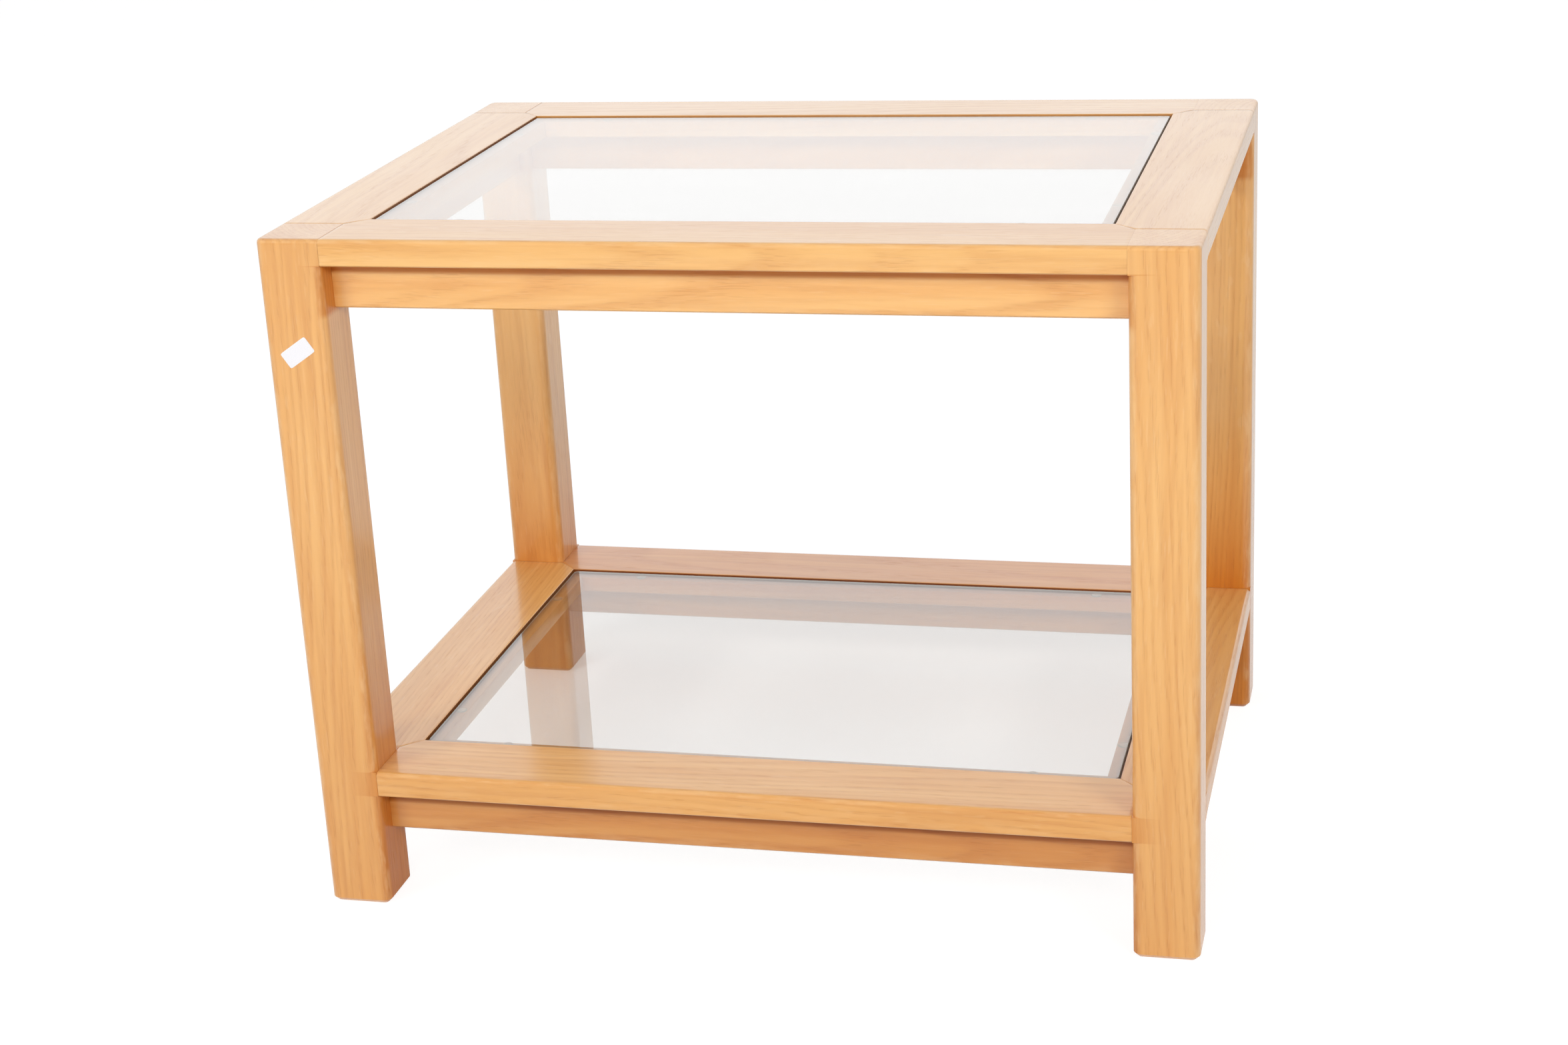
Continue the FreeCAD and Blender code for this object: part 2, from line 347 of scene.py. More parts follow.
def leg_surface(sizes, bands, apron_foot):
    """Leg about its own axis, its outer arris at (-, -): a rounded square carried upwards.

    The ring's radii depend on the height z. Between the frames all four are leg_arris;
    within a board's band three of them are almost square. Over the foot's chamfer every
    side is drawn in by chamfer - z. At the top the two outer sides follow a quarter
    circle, in by r - sqrt(r^2 - (z - top + r)^2), and one more ring lies flat on the top."""
    arris, chamfer, edge = sizes.leg_arris, sizes.foot_chamfer, sizes.board_arris
    tiny = 0.00002
    rounding_starts = TABLE_HEIGHT - edge
    below_apron, foot_wear, least_round = 0.004, 0.8, 0.001
    levels = [0.0, chamfer, chamfer + EDGE_ROW, *LEG_TONE_ROWS, apron_foot - below_apron, apron_foot]
    for low, high in bands:
        levels += [low - EDGE_ROW, low - tiny, low, low + EDGE_ROW]
        levels += [high - EDGE_ROW, high, high + tiny, high + EDGE_ROW]
    levels = [z for z in levels if z < rounding_starts - EDGE_ROW - tiny]
    z = sorted(levels + [rounding_starts - EDGE_ROW])
    z = np.concatenate([z, rounding_starts + edge * np.sin(QUARTER), [TABLE_HEIGHT]])
    banded = np.zeros(len(z), bool)
    for low, high in bands:
        banded |= (z >= low) & (z <= high)
    radii = np.full((len(z), 4), arris)
    radii[banded, 1:] = SQUARE_ARRIS
    foot = np.clip(chamfer - z, 0, None)
    insets = np.repeat(foot[:, None], 4, axis=1)
    rise = np.clip(z - rounding_starts, 0, edge)
    drawn = edge - np.sqrt(np.maximum(edge**2 - rise**2, 0))
    insets[:, :2] += drawn[:, None]
    insets[-1] += EDGE_ROW
    radii = np.maximum(radii - foot[:, None], SQUARE_ARRIS)
    radii[:, 0] = np.maximum(arris - drawn - foot, SQUARE_ARRIS)
    ring, nearness = rounded_ring(LEG_SIZE / 2, radii, insets)
    nearness = nearness * (radii > least_round).repeat(ring.shape[1] // 4, axis=1)
    nearness = np.maximum(nearness, (foot / chamfer)[:, None] * foot_wear)
    outer = (ring[..., 0] < 0) | (ring[..., 1] < 0)
    nearness = np.maximum(nearness, np.sin(math.pi * np.clip(rise / edge, 0, 1))[:, None] * outer)
    points = np.concatenate([ring, np.broadcast_to(z[:, None, None], ring.shape[:2] + (1,))], axis=-1)
    return points, nearness


def bar_surface(upper, lower, reach_of, fine, edge_of):
    """Bar along x from a section in (y, z), drawn as an upper and a lower chain.

    A row of points sits at x = s * (reach_of(y) - inset), so that the ends may be square,
    mitred or both, and the section is drawn in by fine at its very ends. edge_of gives
    each section point's nearness to an arris."""
    ring = np.concatenate([upper[::-1], lower])
    near = np.concatenate([edge_of[0][::-1], edge_of[1]])
    end_inset, middle_rows, last_row, touching, seam_beside_end = 0.003, 9, 0.92, 1e-7, 0.6
    share = np.concatenate([[-1, -1, -1], np.linspace(-last_row, last_row, middle_rows), [1, 1, 1]])
    inset = np.concatenate([[0, 2 * fine], np.full(middle_rows + 2, end_inset), [2 * fine, 0]])
    reach = reach_of(ring[:, 0])
    x = share[:, None] * (reach[None, :] - inset[:, None])
    y = np.broadcast_to(ring[None, :, 0], x.shape).copy()
    z = np.broadcast_to(ring[None, :, 1], x.shape).copy()
    eased = np.zeros(len(share))
    eased[[0, -1]] = fine
    outermost = (ring[:, 0] <= ring[:, 0].min() + touching).astype(float)
    innermost = ring[:, 0] >= ring[:, 0].max() - touching
    y += eased[:, None] * (outermost - innermost)
    upper_half = np.arange(len(ring)) < len(upper)
    z -= eased[:, None] * np.where(upper_half, 1.0, -1.0)
    points = np.stack([x, y, z], axis=-1)
    seam = np.zeros(x.shape)
    seam[[0, -1]] = 1.0
    seam[[1, -2]] = seam_beside_end
    return points, np.broadcast_to(near, x.shape).copy(), seam


def board_section(sizes, top, bottom):
    """Upper and lower chains of a board's section, from its outer edge inwards.

    Upper: a quarter circle at the outer edge, the flat, a small round down into the
    recess, the ledge, and a small round at its lip. Lower: flat, less a chamfer at the
    outer edge and a small one at the inner edge."""
    arris, ease, fine = sizes.board_arris, sizes.eased_edge, sizes.fine_edge
    wall = LEG_SIZE + sizes.past_leg
    lip = wall + sizes.ledge
    ledge_top = top - sizes.recess
    small = np.linspace(0, math.pi / 2, 4)
    hair, row, cove, apart = 0.0002, 0.001, 0.0008, 2e-5
    recess_wear, lip_wear, flat = [0.3, 0.8, 0.8, 0.3], [0.3, 0.6, 0.6, 0.3], [0] * 5
    across = np.concatenate(
        [
            arris - arris * np.cos(QUARTER),
            [arris + EDGE_ROW, LEG_SIZE / 2, LEG_SIZE - hair, LEG_SIZE, wall - fine - EDGE_ROW],
            wall - fine + fine * np.sin(small),
            [wall, wall, wall + row, lip - fine - row],
            lip - fine + fine * np.sin(small),
        ]
    )
    height = np.concatenate(
        [
            top - arris + arris * np.sin(QUARTER),
            [top] * 5,
            top - fine + fine * np.cos(small),
            [ledge_top + cove, ledge_top, ledge_top, ledge_top],
            ledge_top - fine + fine * np.cos(small),
        ]
    )
    nearness = np.concatenate(
        [ROUND_WEAR, flat, recess_wear, flat[1:], lip_wear]
    )
    under = np.linspace(0, 1, len(across)) * apart
    lower_across = np.clip(across, 0, lip) + under * (across < lip - 1e-4)
    lower_height = bottom + np.clip(ease - lower_across, 0, None)
    lower_height = lower_height + np.clip(lower_across - lip + fine, 0, fine)
    lower_near = np.where(lower_across < ease * 1.5, CHAMFER_WEAR, 0.0)
    return (
        np.stack([across, height], axis=-1),
        np.stack([lower_across, lower_height], axis=-1),
        (nearness, lower_near),
        lip,
    )


def apron_section(sizes, thickness, top, bottom, shaded):
    """Upper and lower chains of an apron's section: a rectangle with chamfered lower edges.

    The upper chain has two points more down each face, at the shaded pair of depths below
    the top between which the painted shadow of the board fades out."""
    ease = sizes.eased_edge
    outer_half = np.array([0, ease / 2, ease, ease + EDGE_ROW])
    across = np.concatenate([outer_half, [thickness / 2], thickness - outer_half[::-1]])
    lower_height = bottom + np.clip(ease - across, 0, None) + np.clip(across - thickness + ease, 0, None)
    beside = ease * 1.2
    lower_near = np.where((across < beside) | (across > thickness - beside), CHAMFER_WEAR, 0.0)
    upper_across = np.concatenate([[0, 0], across, [thickness, thickness]])
    below_top = np.array([shaded[1], shaded[0]] + [0] * len(across) + [shaded[0], shaded[1]])
    return (
        np.stack([upper_across, top - below_top], axis=-1),
        np.stack([across, lower_height], axis=-1),
        (np.zeros(len(upper_across)), lower_near),
    )


def pane_surface(low, high, arris, corner):
    """Pane as an outline carried upwards: a rectangle with nipped corners, drawn in by the
    arris at both faces."""
    face_row = 0.0035
    depths = np.array([arris + face_row, arris, arris * 0.3, 0, 0, arris * 0.3, arris, arris + face_row])
    rise = np.array([0, 0, arris * 0.7, arris * 1.15])
    z = np.concatenate([low.z + rise, high.z - rise[::-1]])
    signs = np.array([(-1, -1), (-1, -1), (1, -1), (1, -1), (1, 1), (1, 1), (-1, 1), (-1, 1)])
    along_x = np.array([0, 1, 1, 0, 0, 1, 1, 0]) * corner
    along_y = np.array([1, 0, 0, 1, 1, 0, 0, 1]) * corner
    half_x, half_y = (high.x - low.x) / 2, (high.y - low.y) / 2
    x = signs[:, 0] * (half_x - along_x - depths[:, None])
    y = signs[:, 1] * (half_y - along_y - depths[:, None])
    points = np.stack([x, y, np.broadcast_to(z[:, None], x.shape)], axis=-1)
    edge_faces = slice(len(signs), len(signs) * (len(z) - 2))
    return points, edge_faces


def disc_surface(centres, radius, low, high, columns=28):
    """Small domed discs: rings of radius r(t) at height z(t), one set for each centre."""
    radii = np.array([0.55, 0.9, 1.0, 1.0, 0.93, 0.75, 0.45]) * radius
    z = low + np.array([0, 0, 0.12, 0.55, 0.85, 0.97, 1.0]) * (high - low)
    angle = np.linspace(0, 2 * math.pi, columns, endpoint=False)
    ring = np.stack([np.cos(angle), np.sin(angle)], axis=-1)
    disc = np.concatenate(
        [radii[:, None, None] * ring[None], np.broadcast_to(z[:, None, None], (len(z), columns, 1))], axis=-1
    )
    offset = np.concatenate([centres, np.zeros((len(centres), 1))], axis=-1)
    points = disc[None] + offset[:, None, None, :]
    one = tube_faces(len(z), columns) + cap_faces(len(z), columns)
    count = len(z) * columns
    faces = [[corner + k * count for corner in face] for k in range(len(centres)) for face in one]
    return points, faces


# ---------------------------------------------------------------- materials


NUMBER, VECTOR = "NodeSocketFloat", "NodeSocketVector"
WHITE = (1.0, 1.0, 1.0)


class Wiring:
    """Short words for laying out one node tree."""

    def __init__(self, tree):
        self.tree = tree

    def feed(self, socket, value):
        """Links a socket to another, or sets its value. Colours are given without alpha."""
        if isinstance(value, bpy.types.NodeSocket):
            self.tree.links.new(value, socket)
        elif socket.type == "RGBA":
            socket.default_value = (*value, 1.0)
        else:
            socket.default_value = value

    def feed_all(self, sockets, values):
        for socket, value in zip(sockets, values):
            self.feed(socket, value)

    def fill(self, node, **inputs):
        """Feeds inputs by name, with underscores for the spaces in the names."""
        for key, value in inputs.items():
            self.feed(node.inputs[key.replace("_", " ")], value)
        return node

    def add(self, kind, settings=None, **inputs):
        node = self.tree.nodes.new(kind)
        for key, value in (settings or {}).items():
            setattr(node, key, value)
        return self.fill(node, **inputs)

    def math(self, operation, *values):
        node = self.add("ShaderNodeMath", {"operation": operation})
        self.feed_all(node.inputs, values)
        return node.outputs[0]

    def times(self, *values):
        return self.math("MULTIPLY", *values)

    def plus(self, *values):
        return self.math("ADD", *values)

    def vector(self, operation, *values):
        node = self.add("ShaderNodeVectorMath", {"operation": operation})
        self.feed_all(node.inputs, values)
        return node.outputs["Value" if operation == "LENGTH" else "Vector"]

    def noise(self, place, stretch, detail=1.0, roughness=0.5):
        """Noise as a number and as a colour, with its repeats for each metre as the stretch."""
        stretched = self.vector("MULTIPLY", place, stretch)
        node = self.add("ShaderNodeTexNoise", Vector=stretched, Scale=1.0, Detail=detail, Roughness=roughness)
        return node.outputs["Fac"], node.outputs["Color"]

    def remap(self, value, low, high, to_low=0.0, to_high=1.0, smooth=True):
        node = self.add("ShaderNodeMapRange", {"interpolation_type": "SMOOTHSTEP" if smooth else "LINEAR"})
        self.feed_all(node.inputs, (value, low, high, to_low, to_high))
        return node.outputs["Result"]

    def mix(self, share, first, second, blend="MIX"):
        node = self.add("ShaderNodeMix", {"data_type": "RGBA", "blend_type": blend, "clamp_factor": True})
        self.feed_all([node.inputs[k] for k in (0, 6, 7)], (share, first, second))
        return node.outputs[2]

    def field(self, name):
        """A mesh attribute, as a number and as a vector."""
        node = self.add("ShaderNodeAttribute", {"attribute_type": "GEOMETRY", "attribute_name": name})
        return node.outputs["Fac"], node.outputs["Vector"]

    def rays(self):
        """Whether a ray comes from the camera, from gloss or through glass."""
        path = self.add("ShaderNodeLightPath").outputs
        return [path[f"Is {kind} Ray"] for kind in ("Camera", "Glossy", "Transmission")]

    def object_place(self):
        return self.add("ShaderNodeTexCoord").outputs["Object"]

    def ripple(self, shader, strength, distance, height):
        """Bumps the shader's surface by a height."""
        bump = self.add("ShaderNodeBump", Strength=strength, Distance=distance, Height=height)
        self.feed(shader.inputs["Normal"], bump.outputs["Normal"])

    def blend_shaders(self, kind, surface, *sources):
        """Sends two shaders, mixed or added, to the surface of an output."""
        node = self.add(kind)
        self.feed_all(node.inputs, sources)
        self.feed(surface, node.outputs[0])

    def group(self, tree, **inputs):
        return self.add("ShaderNodeGroup", {"node_tree": tree}, **inputs).outputs


def new_group(name, inputs, outputs):
    """Shader node group with its sockets, and the wiring for its tree."""
    tree = bpy.data.node_groups.new(name, "ShaderNodeTree")
    tree.interface.new_socket("Place", in_out="INPUT", socket_type=VECTOR)
    for key, value in inputs.items():
        tree.interface.new_socket(key, in_out="INPUT", socket_type=NUMBER).default_value = value
    for key in outputs:
        tree.interface.new_socket(key, in_out="OUTPUT", socket_type=NUMBER)
    wiring = Wiring(tree)
    return tree, wiring, wiring.add("NodeGroupInput").outputs, wiring.add("NodeGroupOutput").inputs


def wood_figure_group():
    """Figure of ring-porous wood from coordinates in the log.

    A ring is where the distance from the heart, swayed by slow noise and growing a little
    along the log, passes a whole number of ring widths. Pores are short streaks crowded
    into the early side of each ring, rays are thin plates that point at the heart,
    streaks are soft and long, and bands are slow changes of tone across the stick."""
    tree, w, given, out = new_group(
        "wood_figure",
        {"Ring Width": 0.0038, "Sway": 0.020, "Taper": 0.030},
        ("Rings", "Pores", "Rays", "Streaks", "Bands", "Mottle"),
    )
    place, centred = given["Place"], (0.5, 0.5, 0.5)
    _, slow = w.noise(place, (2.3, 8.0, 8.0))
    sway = w.vector("MULTIPLY", w.vector("SUBTRACT", slow, centred), (0.0, 1.0, 1.0))
    scaled = w.add("ShaderNodeVectorMath", {"operation": "SCALE"}, Vector=sway, Scale=given["Sway"])
    _, quick = w.noise(place, (22.0, 90.0, 90.0), detail=2.0)
    wobble = w.vector("MULTIPLY", w.vector("SUBTRACT", quick, centred), (0.0, 0.0009, 0.0009))
    swayed = w.vector("ADD", w.vector("ADD", place, scaled.outputs["Vector"]), wobble)

    parts = w.add("ShaderNodeSeparateXYZ", Vector=swayed).outputs
    across = w.add("ShaderNodeCombineXYZ", X=0.0, Y=parts["Y"], Z=parts["Z"]).outputs[0]
    distance = w.vector("LENGTH", across)
    radius = w.plus(distance, w.times(parts["X"], given["Taper"]))
    drift = w.times(radius, 70.0)
    uneven = w.add("ShaderNodeTexNoise", {"noise_dimensions": "1D"}, W=drift, Scale=1.0, Detail=1.0)
    counted = w.plus(w.math("DIVIDE", radius, given["Ring Width"]), w.times(uneven.outputs["Fac"], 1.6))
    through = w.math("FRACT", counted)
    early = w.times(w.remap(through, 0.0, 0.24), w.remap(through, 0.18, 0.80, 1.0, 0.0))
    each = w.add("ShaderNodeTexWhiteNoise", {"noise_dimensions": "1D"}, W=w.math("FLOOR", counted))
    fade, _ = w.noise(place, (7.0, 60.0, 60.0))
    ring_strength = w.remap(each.outputs["Value"], 0.0, 1.0, 0.35, 1.0, smooth=False)
    w.feed(out["Rings"], w.times(early, w.times(ring_strength, w.remap(fade, 0.3, 0.7, 0.55, 1.0))))

    short, _ = w.noise(swayed, (75.0, 1350.0, 1350.0), detail=0.0)
    crowded = w.remap(early, 0.0, 1.0, 0.18, 1.0)
    w.feed(out["Pores"], w.times(w.remap(short, 0.56, 0.70), crowded))

    angle = w.math("ARCTAN2", parts["Z"], parts["Y"])
    plate = w.add(
        "ShaderNodeCombineXYZ",
        X=w.times(parts["X"], 55.0), Y=w.times(distance, 130.0), Z=w.times(angle, 75.0),
    )
    plates = w.add("ShaderNodeTexNoise", Vector=plate.outputs[0], Scale=1.0, Detail=1.0)
    w.feed(out["Rays"], w.remap(plates.outputs["Fac"], 0.62, 0.72))

    long, _ = w.noise(swayed, (9.0, 210.0, 210.0))
    w.feed(out["Streaks"], w.remap(long, 0.42, 0.72))
    wide, _ = w.noise(place, (1.3, 70.0, 70.0), detail=2.0)
    w.feed(out["Bands"], w.remap(wide, 0.30, 0.70))
    patchy, _ = w.noise(place, (9.0, 24.0, 24.0), detail=2.0)
    w.feed(out["Mottle"], w.remap(patchy, 0.25, 0.75))
    return tree


def handled_edge_group():
    """Wear where hands and cloths rub the arrises: nearness to an arris, broken up by
    noise along the stick."""
    tree, w, given, out = new_group("handled_edge", {"Nearness": 0.0, "Amount": 0.5}, ["Wear"])
    broken, _ = w.noise(given["Place"], (38.0, 160.0, 160.0), detail=3.0, roughness=0.6)
    worn = w.times(w.remap(given["Nearness"], 0.35, 1.0), w.remap(broken, 0.42, 0.66))
    w.feed(out["Wear"], w.times(worn, given["Amount"]))
    return tree


def settled_dust_group():
    """Fine specks and faint wipe marks, as two masks."""
    tree, w, given, out = new_group("settled_dust", {}, ("Specks", "Wipes"))
    specks, _ = w.noise(given["Place"], (900.0, 900.0, 900.0), detail=0.0)
    w.feed(out["Specks"], w.remap(specks, 0.74, 0.80))
    arcs, _ = w.noise(given["Place"], (9.0, 34.0, 12.0), detail=3.0, roughness=0.6)
    w.feed(out["Wipes"], w.remap(arcs, 0.45, 0.75))
    return tree


def emptied(holder):
    """Gives a material or a world an empty node tree, and returns the tree's wiring."""
    holder.use_nodes = True
    holder.node_tree.nodes.clear()
    return Wiring(holder.node_tree)


def new_material(name):
    """Node material with one plain shader, its wiring and that shader."""
    material = bpy.data.materials.new(name)
    wiring = emptied(material)
    shader = wiring.add("ShaderNodeBsdfPrincipled")
    wiring.add("ShaderNodeOutputMaterial", Surface=shader.outputs[0])
    return material, wiring, shader


def lamps_shine_through(w, shader, passed):
    """Lets lamps shine through with the passed share, by a mixer that takes the shader's
    place at the surface that the shader feeds."""
    surface = shader.outputs[0].links[0].to_socket
    clear = w.add("ShaderNodeBsdfTransparent", Color=passed)
    for_lamps = w.add("ShaderNodeLightPath").outputs["Is Shadow Ray"]
    w.blend_shaders("ShaderNodeMixShader", surface, for_lamps, shader.outputs[0], clear.outputs[0])


def one_noise(w, shader, stretch, detail, colours, roughness):
    """Lets one noise lead both the colour and the roughness, and gives that noise."""
    noise, _ = w.noise(w.object_place(), stretch, detail)
    colour = w.mix(w.remap(noise, 0.3, 0.7), *colours)
    w.fill(shader, Base_Color=colour, Roughness=w.remap(noise, 0.3, 0.7, *roughness))
    return noise


def lacquered_oak(settings):
    """Honey oak under satin lacquer."""
    tone_and_shade_colour, seam_shade, mottle_shade = (0.71, 0.42, 0.10), (0.30, 0.19, 0.11), (0.955, 0.92, 0.87)
    oak = settings.oak
    material, w, shader = new_material("lacquered_oak")
    _, place = w.field("log_place")
    nearness, seam, tone, sheltered = [w.field(key)[0] for key in ("nearness", "seam", "tone", "sheltered")]
    figure = w.group(wood_figure_group(), Place=place, Ring_Width=oak.ring_width)
    wear = w.group(handled_edge_group(), Place=place, Nearness=nearness, Amount=0.35)["Wear"]

    colour = w.mix(figure["Bands"], oak.honey, oak.pale)
    for part, share, over in (
        ("Streaks", 0.30, oak.ring), ("Rings", 0.52, oak.ring),
        ("Rays", 0.22, oak.ray), ("Pores", 0.20, oak.pore),
    ):
        colour = w.mix(w.times(figure[part], share), colour, over)
    colour = w.mix(w.times(figure["Mottle"], 0.35), colour, mottle_shade, "MULTIPLY")
    # Deeper tone: partly each stick's own tone, partly painted shade where the wood lies in shade.
    colour = w.mix(w.plus(tone, sheltered), colour, tone_and_shade_colour, "MULTIPLY")
    colour = w.mix(wear, colour, oak.ray)
    # Dark joints at the bars' ends, and painted shade on the recess walls and the shelf's aprons.
    colour = w.mix(w.remap(seam, 0.5, 2.0, 0.0, 0.95), colour, seam_shade, "MULTIPLY")
    rough = w.remap(figure["Mottle"], 0.0, 1.0, 0.36, 0.44, smooth=False)
    # The coat is thinner on worn arrises and under the painted shade, where it loses its sheen.
    bright = w.times(w.remap(wear, 0.0, 1.0, 1.0, 0.4), w.remap(sheltered, 0.0, 0.8, 1.0, 0.2))
    w.fill(
        shader, Base_Color=colour, Roughness=w.plus(w.times(figure["Pores"], 0.14), rough),
        Coat_Weight=bright, Coat_Roughness=oak.lacquer_roughness, Coat_IOR=1.5,
    )
    w.ripple(shader, 0.35, 0.00025, w.plus(w.times(figure["Pores"], -1.0), w.times(figure["Rings"], -0.35)))
    return material


def float_glass(settings):
    """Clear float glass whose faces mirror strongly, with faint wipe marks.

    It holds back more light where it is seen aslant, through more of it."""
    dust_colour = (0.70, 0.69, 0.67)
    pane = settings.pane
    material, w, shader = new_material("float_glass")
    dust = w.group(settled_dust_group(), Place=w.object_place())
    slant = w.add("ShaderNodeLayerWeight", Blend=0.5).outputs["Facing"]
    clear = w.mix(slant, pane.tint, pane.slant_tint)
    w.fill(
        shader, Base_Color=w.mix(w.times(dust["Specks"], 0.25), clear, dust_colour),
        Roughness=w.times(dust["Wipes"], 0.012), Metallic=0.0, IOR=1.52, Transmission_Weight=1.0,
        Coat_Weight=0.6, Coat_Roughness=0.0, Coat_IOR=1.5,
    )
    lamps_shine_through(w, shader, (0.97, 0.975, 0.965))
    return material


def ground_edge(settings):
    """Frosted ground edges of the panes, a dark grey brown, mottled."""
    dark_mottle = (0.42, 0.38, 0.31)
    material, w, shader = new_material("ground_edge")
    one_noise(w, shader, (1800.0, 1800.0, 1800.0), 1.0, (settings.pane.edge_tint, dark_mottle), (0.42, 0.55))
    w.fill(shader, IOR=1.52, Transmission_Weight=0.25)
    lamps_shine_through(w, shader, (0.90, 0.92, 0.91))
    return material


def clear_bumper(settings):
    """Soft plastic of the pads under the panes, clear but a little yellowed."""
    yellowed, clear = (0.90, 0.80, 0.62), (0.95, 0.86, 0.70)
    material, w, shader = new_material("clear_bumper")
    one_noise(w, shader, (600.0, 600.0, 600.0), 2.0, (yellowed, clear), (0.14, 0.26))
    w.fill(shader, IOR=1.38, Transmission_Weight=0.85)
    lamps_shine_through(w, shader, (0.95, 0.95, 0.94))
    return material


def glued_beech(settings):
    """Plain beech of the loose tongues, with short darker rays."""
    dark, light, ray = (0.60, 0.36, 0.19), (0.70, 0.46, 0.27), (0.42, 0.22, 0.10)
    material, w, shader = new_material("glued_beech")
    place = w.object_place()
    tone, _ = w.noise(place, (30.0, 30.0, 90.0), detail=2.0)
    flecks, _ = w.noise(place, (160.0, 160.0, 900.0))
    colour = w.mix(w.remap(tone, 0.3, 0.7), dark, light)
    colour = w.mix(w.remap(flecks, 0.60, 0.70, 0.0, 0.6), colour, ray)
    w.fill(shader, Base_Color=colour, Roughness=w.remap(tone, 0.3, 0.7, 0.55, 0.68))
    w.ripple(shader, 0.2, 0.0001, flecks)
    return material


def label_paper(settings):
    """White label stock: faint fibres and a slight mottle."""
    dull, bright = (0.86, 0.85, 0.90), (0.93, 0.92, 0.95)
    material, w, shader = new_material("label_paper")
    fibres = one_noise(w, shader, (1500.0, 400.0, 2500.0), 3.0, (dull, bright), (0.45, 0.58))
    w.ripple(shader, 0.15, 0.00005, fibres)
    return material


def finish_named(name, settings):
    """The material of that name, made the first time it is asked for."""
    makers = {
        "lacquered_oak": lacquered_oak,
        "float_glass": float_glass,
        "ground_edge": ground_edge,
        "clear_bumper": clear_bumper,
        "glued_beech": glued_beech,
        "label_paper": label_paper,
    }
    return bpy.data.materials.get(name) or makers[name](settings)


# ---------------------------------------------------------------- operators


def tier_bands():
    """Height bands of the two board frames, lower one first."""
    boxes = [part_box(f"{tier}_board_front") for tier in ("shelf", "top")]
    return [(low.z, high.z) for low, high in boxes]


def side_reach(side):
    """Half the length of a side, and how far out it stands."""
    return (HALF_WIDTH, HALF_DEPTH) if side in ("front", "back") else (HALF_DEPTH, HALF_WIDTH)


def put_rail(settings, kind, tier, side, timber, middle, offset, surface, nearness, seam, sheltered):
    """Moves a board or an apron, made as the front one, by its offset along y and turns it
    to its side of the table."""
    rows, columns = surface.shape[:2]
    points = quarter_turned(surface + np.array([0, offset, 0]), SIDE_TURNS[side])
    put_piece(
        f"oak_{tier}_{kind}_{side}", points, tube_faces(rows, columns) + strip_cap_faces(rows, columns),
        finish_named("lacquered_oak", settings), [f"{tier}_{kind}_{side}"], "oak", FRAME_BODY,
        log_place=log_place(surface, middle, timber), nearness=nearness, seam=seam,
        tone=tone_with_painted_shade(surface[..., 0], timber, -TONE_CHANGE, TONE_CHANGE), sheltered=sheltered,
    )


class DISPLAY_TABLE_OT_make_legs(bpy.types.Operator):
    """Makes the four square legs"""

    bl_idname = "display_table.make_legs"
    bl_label = "Make Legs"

    def execute(self, context):
        settings = context.scene.display_table
        bands = tier_bands()
        apron_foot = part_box("top_apron_front")[0].z
        surface, nearness = leg_surface(settings.joinery, bands, apron_foot)
        rows, columns = surface.shape[:2]
        faces = tube_faces(rows, columns) + cap_faces(rows, columns)
        # Painted shade on the faces that look under the table, most of all low down and beside
        # the upper aprons; the outer faces are also painted a little darker near the top.
        height = surface[..., 2]
        inward = np.clip(surface[..., :2].max(axis=-1) / (LEG_SIZE / 2) * 4 - 3, 0, 1)
        hair, fully_low, low_span, high_from, high_span = 0.001, 1.15, 0.2, 0.34, 0.08
        beside_apron = (height > apron_foot - hair) & (height < bands[1][0] + hair)
        low_down = np.clip(fully_low - height / low_span, 0, 1)
        high_up = np.clip((height - high_from) / high_span, 0, 1)
        sheltered = inward * (low_down * SHADE_LOW_ON_LEG + beside_apron * SHADE_BESIDE_APRON)
        sheltered = sheltered + high_up * (1 - inward) * SHADE_HIGH_ON_LEG
        for corner, turns in CORNER_TURNS.items():
            low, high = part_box(f"leg_{corner}")
            centre = np.array([(low.x + high.x) / 2, (low.y + high.y) / 2, 0.0])
            points = quarter_turned(surface, turns) + centre
            timber = LEG_TIMBER[corner]
            # Each leg's tone deepens towards its foot: painted shade on top of the stick's own tone.
            put_piece(
                f"oak_leg_{corner}", points, faces, finish_named("lacquered_oak", settings),
                [f"leg_{corner}"], "oak", FRAME_BODY,
                log_place=log_place((points - centre)[..., [2, 0, 1]], (0, 0, 0), timber),
                nearness=nearness, seam=np.zeros(nearness.shape),
                tone=tone_with_painted_shade(height, timber, 0.03, 0.34), sheltered=sheltered,
            )
        return {"FINISHED"}


